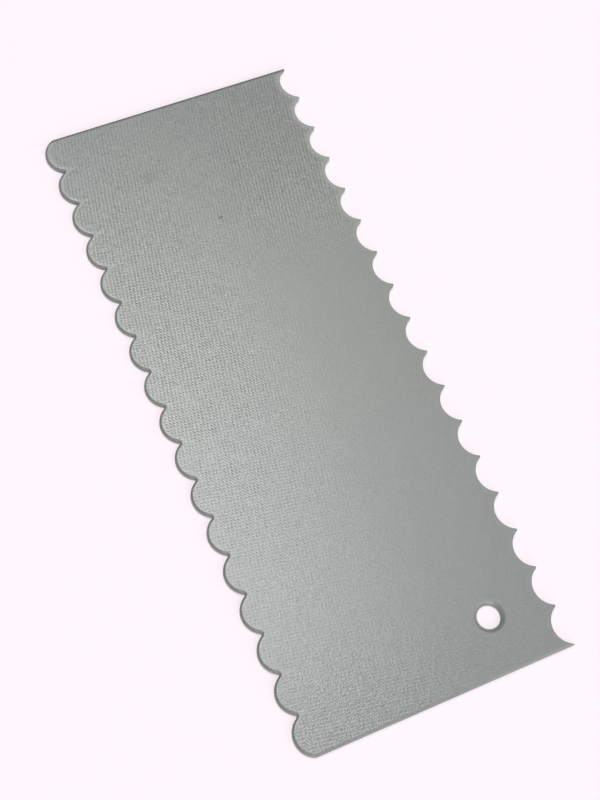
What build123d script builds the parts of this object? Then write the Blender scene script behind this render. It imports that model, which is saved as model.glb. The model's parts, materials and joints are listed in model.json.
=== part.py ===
from build123d import *
import os
from math import cos, radians, sin, sqrt

# A thin icing smoother: one long edge is a row of round lobes, the other a row of concave scallops
# between pointed tips. It lies flat on its plain back, with its worked face up.
# X runs across the plate from the lobes to the tips, Y along it, and the hanging hole is at the -Y end.

# Plate, in millimetres
scallop_count = 17
scallop_pitch = 12.7
blade_width = 84.5
plate_thickness = 2.0

# Lobed edge: blade_width is measured from the line through its notches
lobe_height = 4.2
notch_round = 0.4
lobe_corner_round = 3.2

# Comb edge: blade_width is measured to the line through its tips, before they are rounded
scallop_depth = 4.7
tip_round = 0.5

# Rounding of the plate's rim, seen from the side, where the comb edge is the sharpest
face_edge_round = 0.9
comb_edge_round = 0.35
back_edge_round = 0.3

# Hanging hole, with a dished rim in the worked face that starts at a slope in degrees
hole_diameter = 7.2
hole_dish_width = 1.3
hole_dish_depth = 1.1
hole_dish_slope = 22
hole_from_tips = 20.8
hole_from_end = 17.3

# How far a cut runs past what it cuts
overrun = 2.0

# A rounded tip is an arc that touches the two scallops beside it, so it ends short of the sharp tip
half_pitch = scallop_pitch / 2
scallop_radius = (half_pitch**2 + scallop_depth**2) / (2 * scallop_depth)
tip_to_scallop_centre = sqrt((scallop_radius + tip_round) ** 2 - half_pitch**2)
tip_setback = tip_to_scallop_centre - (scallop_radius - scallop_depth) - tip_round

# The origin is under the middle of the plate's own box
plate_length = scallop_count * scallop_pitch
overall_width = lobe_height + blade_width - tip_setback
notch_line = lobe_height - overall_width / 2
tip_line = notch_line + blade_width
scallop_centre_line = tip_line - scallop_depth + scallop_radius
near_end = -plate_length / 2
far_end = plate_length / 2
steps_along = [near_end + step * scallop_pitch for step in range(scallop_count)]


def rim_cut(radius, width, depth, face, outward, slope=0):
    """The ring to cut away around a round opening, leaving an arc that starts in the face at that slope."""
    with BuildPart() as ring:
        with BuildSketch(Plane.XZ):
            with BuildLine():
                outside = (radius + width, face)
                inside = (radius, face - outward * depth)
                clear_radius = radius / 2
                inward_and_down = (-cos(radians(slope)), -outward * sin(radians(slope)))
                TangentArc(outside, inside, tangent=inward_and_down)
                Polyline(
                    inside,
                    (clear_radius, face - outward * depth),
                    (clear_radius, face + outward * overrun),
                    (radius + width, face + outward * overrun),
                    outside,
                )
            make_face()
        revolve(axis=Axis.Z)
    return ring.part


# Each opening has a rim in the worked face and a smaller one in the back
scallop_rims = [
    rim_cut(scallop_radius, comb_edge_round, comb_edge_round, plate_thickness, 1),
    rim_cut(scallop_radius, back_edge_round, back_edge_round, 0, -1),
]
hole_rims = [
    rim_cut(hole_diameter / 2, hole_dish_width, hole_dish_depth, plate_thickness, 1, hole_dish_slope),
    rim_cut(hole_diameter / 2, back_edge_round, back_edge_round, 0, -1),
]

with BuildPart() as smoother_plate:
    # The blank has its lobes and its ends, and a straight edge where the comb will be cut
    blank_line = tip_line + overrun
    with BuildSketch() as blank:
        with BuildLine():
            for start in steps_along:
                SagittaArc((notch_line, start), (notch_line, start + scallop_pitch), lobe_height)
            Polyline((notch_line, near_end), (blank_line, near_end), (blank_line, far_end), (notch_line, far_end))
        make_face()
        notch_line_vertices = blank.vertices().group_by(Axis.X)[0].sort_by(Axis.Y)
        fillet(notch_line_vertices[1:-1], notch_round)
        straight_ends = blank.edges().filter_by(Axis.X)
        fillet([end.vertices().sort_by(Axis.X)[0] for end in straight_ends], lobe_corner_round)
    extrude(amount=plate_thickness)
    worked_face = smoother_plate.faces().sort_by(Axis.Z)[-1]
    fillet(worked_face.edges().sort_by(Axis.X)[:-1], face_edge_round)
    back_face = smoother_plate.faces().sort_by(Axis.Z)[0]
    fillet(back_face.edges().sort_by(Axis.X)[:-1], back_edge_round)

    # The comb goes on past both ends, so that each end cuts a rounded tip in half
    with BuildSketch() as comb_waste:
        waste_near, waste_far = near_end - scallop_pitch, far_end + scallop_pitch
        waste_line = blank_line + overrun
        with BuildLine():
            for start in [waste_near, *steps_along, far_end]:
                SagittaArc((tip_line, start), (tip_line, start + scallop_pitch), scallop_depth)
            Polyline((tip_line, waste_near), (waste_line, waste_near), (waste_line, waste_far), (tip_line, waste_far))
        make_face()
        fillet(comb_waste.vertices().group_by(Axis.X)[0].sort_by(Axis.Y)[1:-1], tip_round)
    extrude(amount=plate_thickness, mode=Mode.SUBTRACT)
    with Locations([(scallop_centre_line, start + half_pitch) for start in steps_along]):
        add(scallop_rims, mode=Mode.SUBTRACT)

    with Locations((tip_line - hole_from_tips, near_end + hole_from_end)):
        Hole(hole_diameter / 2)
        add(hole_rims, mode=Mode.SUBTRACT)

smoother_plate.part.label = "smoother_plate"

os.makedirs("parts", exist_ok=True)
export_step(smoother_plate.part, "parts/smoother_plate.step")

print("overall width", round(overall_width, 3), "length", round(plate_length, 3))
print("hole at", round(tip_line - hole_from_tips, 3), round(near_end + hole_from_end, 3))
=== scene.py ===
import json
from math import cos, pi, radians, sin

import bpy
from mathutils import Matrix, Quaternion, Vector


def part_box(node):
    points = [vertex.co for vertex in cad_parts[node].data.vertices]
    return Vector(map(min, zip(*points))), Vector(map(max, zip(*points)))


# The plate lies flat, with its grained face up. X runs across it from the lobes to the comb tips, and Y
# runs along it from the hole's end to the far end. Lengths are in metres.
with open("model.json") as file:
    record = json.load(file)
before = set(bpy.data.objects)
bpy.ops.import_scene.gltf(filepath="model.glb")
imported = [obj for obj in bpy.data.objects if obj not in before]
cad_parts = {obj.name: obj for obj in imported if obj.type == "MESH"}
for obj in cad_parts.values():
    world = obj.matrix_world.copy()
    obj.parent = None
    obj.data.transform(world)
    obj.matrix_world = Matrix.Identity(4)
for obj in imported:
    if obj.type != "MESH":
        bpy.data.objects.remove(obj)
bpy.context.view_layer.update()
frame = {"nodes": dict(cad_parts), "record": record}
plate = frame["nodes"]["smoother_plate"]
plate_low, plate_high = (Vector(corner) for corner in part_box("smoother_plate"))
mounts = {mount["name"]: mount for mount in frame["record"]["mounts"]}
hole_x, hole_y, _ = mounts["hanging_hole"]["pos_m"]
hole_radius = mounts["hanging_hole"]["dims"]["r_mm"] / 1000
face_height = plate_high.z

# Edges of the plate
scallop_count = 17
scallop_pitch = (plate_high.y - plate_low.y) / scallop_count
lobe_height = 0.0042
scallop_depth = 0.0047
tip_setback = 0.000824

# Grain pressed into the worked face
grain_pitch_across = 0.001126
grain_pitch_along = 0.001029
grain_turn_across = radians(-11.7)
grain_turn_along = radians(-9.9)
grain_depth = 0.000006
# How much darker the grain's pits and how much lighter its ridges are painted: painted shade and light
grain_painted_shade = 0.105
grain_slant_lag = 1.8
plain_rim_width = 0.0005
grain_fade_width = 0.0008
uneven_patch = 0.0035
uneven_strength = (0.30, 0.70, 0.75, 1.25)
jitter_patch = 0.0060
jitter_reach = 3.0
speckle_size = 0.00045

# How strong the grain is over the plate: from one X or Y to another, and its strength at the two
near_lobes_by_x = (-0.028, 0.020, 1.0, 0.0)
across_by_y = (-0.075, 0.045, 0.32, 1.40)
across_at_far_end_by_y = (0.075, 0.108, 1.0, 0.75)
along_at_far_end_by_y = (0.035, 0.095, 1.0, 0.10)
along_at_hole_end_by_y = (-0.070, -0.025, 0.45, 1.0)
far_end_by_y = (0.030, 0.065, 0.0, 1.15)
far_end_by_x = (0.0, 0.018, 0.55, 1.0)
hole_end_by_y = (-0.100, -0.075, 0.65, 0.0)
hole_end_by_x = (-0.030, 0.060, 1.0, 0.0)
speckle_by_x = (-0.010, 0.030, 4.5, 3.0)
speckle_with_waves = 2.6
speckle_at_far_end = 2.0
speckle_at_hole_end = 4.0

# Painted light in a thin band inside the rim and on the plate near the comb, and a line of painted shade
# along the far end
painted_band_at_comb_by_x = (0.0, 0.010)
painted_band_starts = (0.0004, 0.0010)
painted_band_stops = (0.0004, 0.0024, 1.0, 0.0)
painted_band_light_by_y = (0.020, 0.080, 0.06, 0.42)
painted_light_near_comb_by_x = (0.005, 0.036, 0.0, 0.09)
painted_light_near_comb_by_y = (0.045, 0.080, 1.0, 0.0)
painted_far_end_shade_by_distance = (0.0004, 0.0020, 0.40, 1.0)

# Small marks in the worked face: place, reach, and how much darker it is there
marks = [
    ((-0.0148, 0.0838), 0.0042, 0.10),
    ((-0.0205, 0.0038), 0.0024, 0.08),
    ((0.0011, 0.0613), 0.0010, 0.50),
]

# Camera, fitted to the plate's outline in the photograph
camera_place = Vector((-0.10200, -0.14421, 0.40181))
camera_aim = Vector((-0.00058, -0.00694, face_height))
camera_roll = radians(13.864)
camera_lens = 63.2

# Studio
paper_colour = (0.991, 0.905, 0.956)
paper_glow_share = 0.65
paper_roughness = 0.9
plastic_red, plastic_green = 0.204, 0.2155
plastic_blue_low, plastic_blue_high = 0.2005, 0.210
plastic_roughness = 0.28
plastic_ior = 1.58
plastic_specular = 0.5
tint_patch = 0.03
tint_waver = 0.08
blue_leaves_by_y = (0.015, 0.045)
blue_returns_by_y = (0.120, 0.150)
room_light = 0.14
room_side = (0.5, -0.87, 0.0)
room_side_share = 0.9
top_box = {"place": (0.005, 0.705, 2.50), "size": (1.20, 1.26), "radiance": 9.2}
key_box = {"place": (1.175, -2.036, 1.646), "size": (6.0, 2.0), "radiance": 1.6}
fill_box = {"place": (-1.149, -2.464, 1.268), "size": (2.0, 1.6), "radiance": 2.58}
floor_reach = 3.0


class Graph:
    """One material's nodes, with short calls to add and join them."""

    def __init__(self, name):
        self.material = bpy.data.materials.new(name)
        self.material.use_nodes = True
        self.tree = self.material.node_tree
        self.shader = self.tree.nodes["Principled BSDF"]
        self.output = self.tree.nodes["Material Output"]

    def feed(self, socket, value):
        if isinstance(value, bpy.types.NodeSocket):
            self.tree.links.new(value, socket)
        else:
            socket.default_value = value

    def add(self, kind, inputs=None, **settings):
        made = self.tree.nodes.new(kind)
        for name, value in settings.items():
            setattr(made, name, value)
        for name, value in (inputs or {}).items():
            self.feed(made.inputs[name], value)
        return made

    def math(self, operation, *values):
        return self.add("ShaderNodeMath", dict(enumerate(values)), operation=operation).outputs[0]

    def dot(self, place, direction):
        inputs = {0: place, 1: direction}
        return self.add("ShaderNodeVectorMath", inputs, operation="DOT_PRODUCT").outputs["Value"]

    def ramp(self, value, low, high, to_low=0.0, to_high=1.0):
        inputs = {"Value": value, "From Min": low, "From Max": high, "To Min": to_low, "To Max": to_high}
        return self.add("ShaderNodeMapRange", inputs, interpolation_type="SMOOTHSTEP").outputs["Result"]

    def noise(self, place, size, detail=2.0, roughness=0.5):
        inputs = {"Vector": place, "Scale": 1 / size, "Detail": detail, "Roughness": roughness}
        return self.add("ShaderNodeTexNoise", inputs).outputs["Fac"]


def add_camera():
    data = bpy.data.cameras.new("camera")
    data.lens = camera_lens
    camera = bpy.data.objects.new("camera", data)
    camera.location = camera_place
    camera.rotation_mode = "QUATERNION"
    level = (camera_place - camera_aim).to_track_quat("Z", "Y")
    camera.rotation_quaternion = level @ Quaternion((0, 0, 1), camera_roll)
    bpy.context.collection.objects.link(camera)
    bpy.context.scene.camera = camera


def add_softbox(name, place, size, radiance):
    data = bpy.data.lights.new(name, "AREA")
    data.shape = "RECTANGLE"
    data.size, data.size_y = size
    data.energy = radiance * pi * size[0] * size[1]
    lamp = bpy.data.objects.new(name, data)
    lamp.location = place
    lamp.rotation_mode = "QUATERNION"
    lamp.rotation_quaternion = Vector(place).to_track_quat("Z", "Y")
    bpy.context.collection.objects.link(lamp)


def add_room_light():
    world = bpy.data.worlds.new("room")
    world.use_nodes = True
    tree = world.node_tree
    direction = tree.nodes.new("ShaderNodeTexCoord").outputs["Generated"]
    towards_side = tree.nodes.new("ShaderNodeVectorMath")
    towards_side.operation = "DOT_PRODUCT"
    towards_side.inputs[1].default_value = room_side
    tree.links.new(direction, towards_side.inputs[0])
    strength = tree.nodes.new("ShaderNodeMath")
    strength.operation = "MULTIPLY_ADD"
    strength.inputs[1].default_value = room_light * room_side_share
    strength.inputs[2].default_value = room_light
    tree.links.new(towards_side.outputs["Value"], strength.inputs[0])
    background = tree.nodes["Background"]
    background.inputs["Color"].default_value = (1, 1, 1, 1)
    tree.links.new(strength.outputs[0], background.inputs["Strength"])
    bpy.context.scene.world = world


def paper_material():
    graph = Graph("white_paper")
    graph.feed(graph.shader.inputs["Base Color"], (*paper_colour, 1))
    graph.feed(graph.shader.inputs["Roughness"], paper_roughness)
    graph.feed(graph.shader.inputs["Specular IOR Level"], 0.0)
    rays = graph.add("ShaderNodeLightPath").outputs
    seen = graph.math("MAXIMUM", rays["Is Camera Ray"], rays["Is Glossy Ray"])
    seen = graph.math("MAXIMUM", seen, rays["Is Transmission Ray"])
    glow = graph.add("ShaderNodeEmission", {"Color": (*paper_colour, 1), "Strength": 1.0})
    share = graph.math("MULTIPLY", seen, paper_glow_share)
    mixed = graph.add("ShaderNodeMixShader", {0: share, 1: graph.shader.outputs[0], 2: glow.outputs[0]})
    graph.feed(graph.output.inputs["Surface"], mixed.outputs[0])
    return graph.material


def add_floor():
    mesh = bpy.data.meshes.new("floor")
    corners = [(x, y, 0) for x, y in ((-1, -1), (1, -1), (1, 1), (-1, 1))]
    mesh.from_pydata([tuple(floor_reach * c for c in corner) for corner in corners], [], [(0, 1, 2, 3)])
    mesh.materials.append(paper_material())
    floor = bpy.data.objects.new("floor", mesh)
    bpy.context.collection.objects.link(floor)


def edge_distance(graph, place):
    """How far a point of the plate is from the nearest edge of its outline or of its hole."""
    parts = graph.add("ShaderNodeSeparateXYZ", {"Vector": place})
    x, y = parts.outputs["X"], parts.outputs["Y"]
    half_pitch = scallop_pitch / 2
    along = graph.math("WRAP", y, plate_low.y + scallop_pitch, plate_low.y)
    along = graph.math("SUBTRACT", along, plate_low.y + half_pitch)

    lobe_radius = (half_pitch**2 + lobe_height**2) / (2 * lobe_height)
    lobe_centre = plate_low.x + lobe_radius
    run = graph.math("SQRT", graph.math("SUBTRACT", lobe_radius**2, graph.math("MULTIPLY", along, along)))
    past_lobe = graph.math("SUBTRACT", x, graph.math("SUBTRACT", lobe_centre, run))
    from_lobe = graph.math("MULTIPLY", past_lobe, graph.math("DIVIDE", run, lobe_radius))

    scallop_radius = (half_pitch**2 + scallop_depth**2) / (2 * scallop_depth)
    scallop_centre = plate_high.x + tip_setback - scallop_depth + scallop_radius
    across = graph.math("SUBTRACT", x, scallop_centre)
    from_centre = graph.add("ShaderNodeCombineXYZ", {"X": across, "Y": along}).outputs[0]
    from_centre = graph.add("ShaderNodeVectorMath", {0: from_centre}, operation="LENGTH").outputs["Value"]
    from_scallop = graph.math("SUBTRACT", from_centre, scallop_radius)

    from_end = graph.math("SUBTRACT", plate_high.y, graph.math("ABSOLUTE", y))

    flat = graph.add("ShaderNodeCombineXYZ", {"X": x, "Y": y}).outputs[0]
    inputs = {0: flat, 1: (hole_x, hole_y, 0)}
    from_hole = graph.add("ShaderNodeVectorMath", inputs, operation="DISTANCE").outputs["Value"]
    from_hole = graph.math("SUBTRACT", from_hole, hole_radius)

    nearest = graph.math("MINIMUM", from_lobe, from_scallop)
    return graph.math("MINIMUM", nearest, graph.math("MINIMUM", from_end, from_hole))


def wave_phase(graph, place, pitch, turn, jitter):
    """The phase of a wave that crosses the plate at that turn, a little uneven in its spacing."""
    direction = (2 * pi / pitch * cos(turn), 2 * pi / pitch * sin(turn), 0)
    return graph.math("ADD", graph.dot(place, direction), jitter)


def grain_pattern(graph, place):
    """The grain's relief, which also sets the painted shade in its pits. It is strongest by the lobes and
    at the far end, and fades towards the comb.
    """
    parts = graph.add("ShaderNodeSeparateXYZ", {"Vector": place}).outputs
    x, y = parts["X"], parts["Y"]
    near_lobes = graph.ramp(x, *near_lobes_by_x)
    far_from_hole = graph.ramp(y, *across_by_y)
    far_end = graph.math("MULTIPLY", graph.ramp(y, *far_end_by_y), graph.ramp(x, *far_end_by_x))
    across_share = graph.math("MAXIMUM", graph.math("MULTIPLY", near_lobes, far_from_hole), far_end)
    across_share = graph.math("MULTIPLY", across_share, graph.ramp(y, *across_at_far_end_by_y))
    fade_up = graph.ramp(y, *along_at_far_end_by_y)
    fade_down = graph.ramp(y, *along_at_hole_end_by_y)
    along_share = graph.math("MULTIPLY", near_lobes, graph.math("MULTIPLY", fade_up, fade_down))
    hole_end = graph.math("MULTIPLY", graph.ramp(y, *hole_end_by_y), graph.ramp(x, *hole_end_by_x))
    along_share = graph.math("MAXIMUM", along_share, hole_end)

    uneven = graph.ramp(graph.noise(place, uneven_patch), *uneven_strength)
    jitter = graph.math("SUBTRACT", graph.noise(place, jitter_patch), 0.5)
    jitter = graph.math("MULTIPLY", jitter, jitter_reach)
    across = wave_phase(graph, place, grain_pitch_across, grain_turn_across, jitter)
    along = wave_phase(graph, place, grain_pitch_along, grain_turn_along + pi / 2, jitter)
    slant = graph.math("ADD", graph.math("ADD", across, along), grain_slant_lag)
    across_part = graph.math("MULTIPLY", across_share, graph.math("COSINE", across))
    along_waves = graph.math("ADD", graph.math("COSINE", along), graph.math("COSINE", slant))
    along_part = graph.math("MULTIPLY", along_share, along_waves)
    ridges = graph.math("ADD", across_part, along_part)

    speckle = graph.math("SUBTRACT", graph.noise(place, speckle_size, detail=1.0), 0.5)
    by_x = graph.ramp(x, *speckle_by_x)
    speckle_share = graph.math("MULTIPLY_ADD", across_share, speckle_with_waves, by_x)
    at_hole_end = graph.math("MULTIPLY", hole_end, speckle_at_hole_end)
    at_ends = graph.math("MULTIPLY_ADD", far_end, speckle_at_far_end, at_hole_end)
    speckle_share = graph.math("ADD", speckle_share, at_ends)
    ridges = graph.math("MULTIPLY", ridges, uneven)
    return graph.math("ADD", ridges, graph.math("MULTIPLY", speckle, speckle_share))


def marks_shade(graph, place):
    """1 all over, and less in the small marks."""
    shade = 1.0
    for (x, y), reach, darker in marks:
        inputs = {0: place, 1: (x, y, face_height)}
        away = graph.add("ShaderNodeVectorMath", inputs, operation="DISTANCE").outputs["Value"]
        shade = graph.math("MULTIPLY", graph.ramp(away, 0.0, reach, 1 - darker, 1.0), shade)
    return shade


def plastic_material():
    graph = Graph("grey_plastic")
    place = graph.add("ShaderNodeTexCoord").outputs["Object"]
    distance = edge_distance(graph, place)
    parts = graph.add("ShaderNodeSeparateXYZ", {"Vector": place}).outputs
    on_face = graph.ramp(parts["Z"], face_height / 2, face_height)

    inside = graph.ramp(distance, plain_rim_width, plain_rim_width + grain_fade_width)
    grain = graph.math("MULTIPLY", grain_pattern(graph, place), graph.math("MULTIPLY", inside, on_face))
    relief = graph.math("MULTIPLY", grain, grain_depth)
    bump = graph.add("ShaderNodeBump", {"Height": relief, "Distance": 1.0})
    # The grain's pits are painted darker and its ridges lighter on top of the bump: painted shade and
    # light, strongest where the overhead sheen shows the grain. The small marks are then multiplied in.
    painted_pit_shade_and_marks = graph.math("MULTIPLY_ADD", grain, grain_painted_shade, 1.0)
    painted_pit_shade_and_marks = graph.math("MULTIPLY", painted_pit_shade_and_marks, marks_shade(graph, place))

    # A thin band inside the rim is painted a little lighter, most of all at the far end, and so is the
    # comb's side: painted light along the rounded edges
    at_comb = graph.ramp(parts["X"], *painted_band_at_comb_by_x)
    painted_rim_band = graph.math("MAXIMUM", graph.ramp(distance, *painted_band_starts), at_comb)
    painted_rim_band = graph.math("MULTIPLY", painted_rim_band, graph.ramp(distance, *painted_band_stops))
    painted_band_light = graph.ramp(parts["Y"], *painted_band_light_by_y)
    towards_comb = graph.ramp(parts["X"], *painted_light_near_comb_by_x)
    painted_light_near_comb = graph.math("MULTIPLY", towards_comb, graph.ramp(parts["Y"], *painted_light_near_comb_by_y))
    painted_light = graph.math("MULTIPLY_ADD", graph.math("MULTIPLY", painted_rim_band, on_face), painted_band_light, painted_light_near_comb)
    shade = graph.math("MULTIPLY", painted_pit_shade_and_marks, graph.math("ADD", painted_light, 1.0))

    # A thin line of painted shade runs along the far end, where its rounded edge turns away from the light
    from_far_end = graph.math("SUBTRACT", plate_high.y, parts["Y"])
    shade = graph.math("MULTIPLY", shade, graph.ramp(from_far_end, *painted_far_end_shade_by_distance))

    # The grey leans to green in the middle, and less so towards both ends
    wavering_y = graph.math("MULTIPLY_ADD", graph.noise(place, tint_patch), tint_waver, parts["Y"])
    blue_hole_end = graph.ramp(wavering_y, *blue_leaves_by_y, plastic_blue_high, plastic_blue_low)
    blue_far_end = graph.ramp(wavering_y, *blue_returns_by_y, plastic_blue_low, plastic_blue_high)
    blue = graph.math("MAXIMUM", blue_hole_end, blue_far_end)
    channels = {"Red": plastic_red, "Green": plastic_green, "Blue": blue}
    shaded = {name: graph.math("MULTIPLY", shade, value) for name, value in channels.items()}
    colour = graph.add("ShaderNodeCombineColor", shaded)
    graph.feed(graph.shader.inputs["Base Color"], colour.outputs[0])
    graph.feed(graph.shader.inputs["Roughness"], plastic_roughness)
    graph.feed(graph.shader.inputs["IOR"], plastic_ior)
    gloss = graph.math("MULTIPLY", painted_pit_shade_and_marks, plastic_specular)
    graph.feed(graph.shader.inputs["Specular IOR Level"], gloss)
    graph.feed(graph.shader.inputs["Normal"], bump.outputs["Normal"])
    return graph.material


add_camera()
bpy.context.scene.view_settings.view_transform = "Standard"
add_room_light()
add_softbox("top_softbox", **top_box)
add_softbox("key_softbox", **key_box)
add_softbox("fill_softbox", **fill_box)
add_floor()

plastic = plastic_material()
for slot in plate.material_slots:
    slot.material = plastic
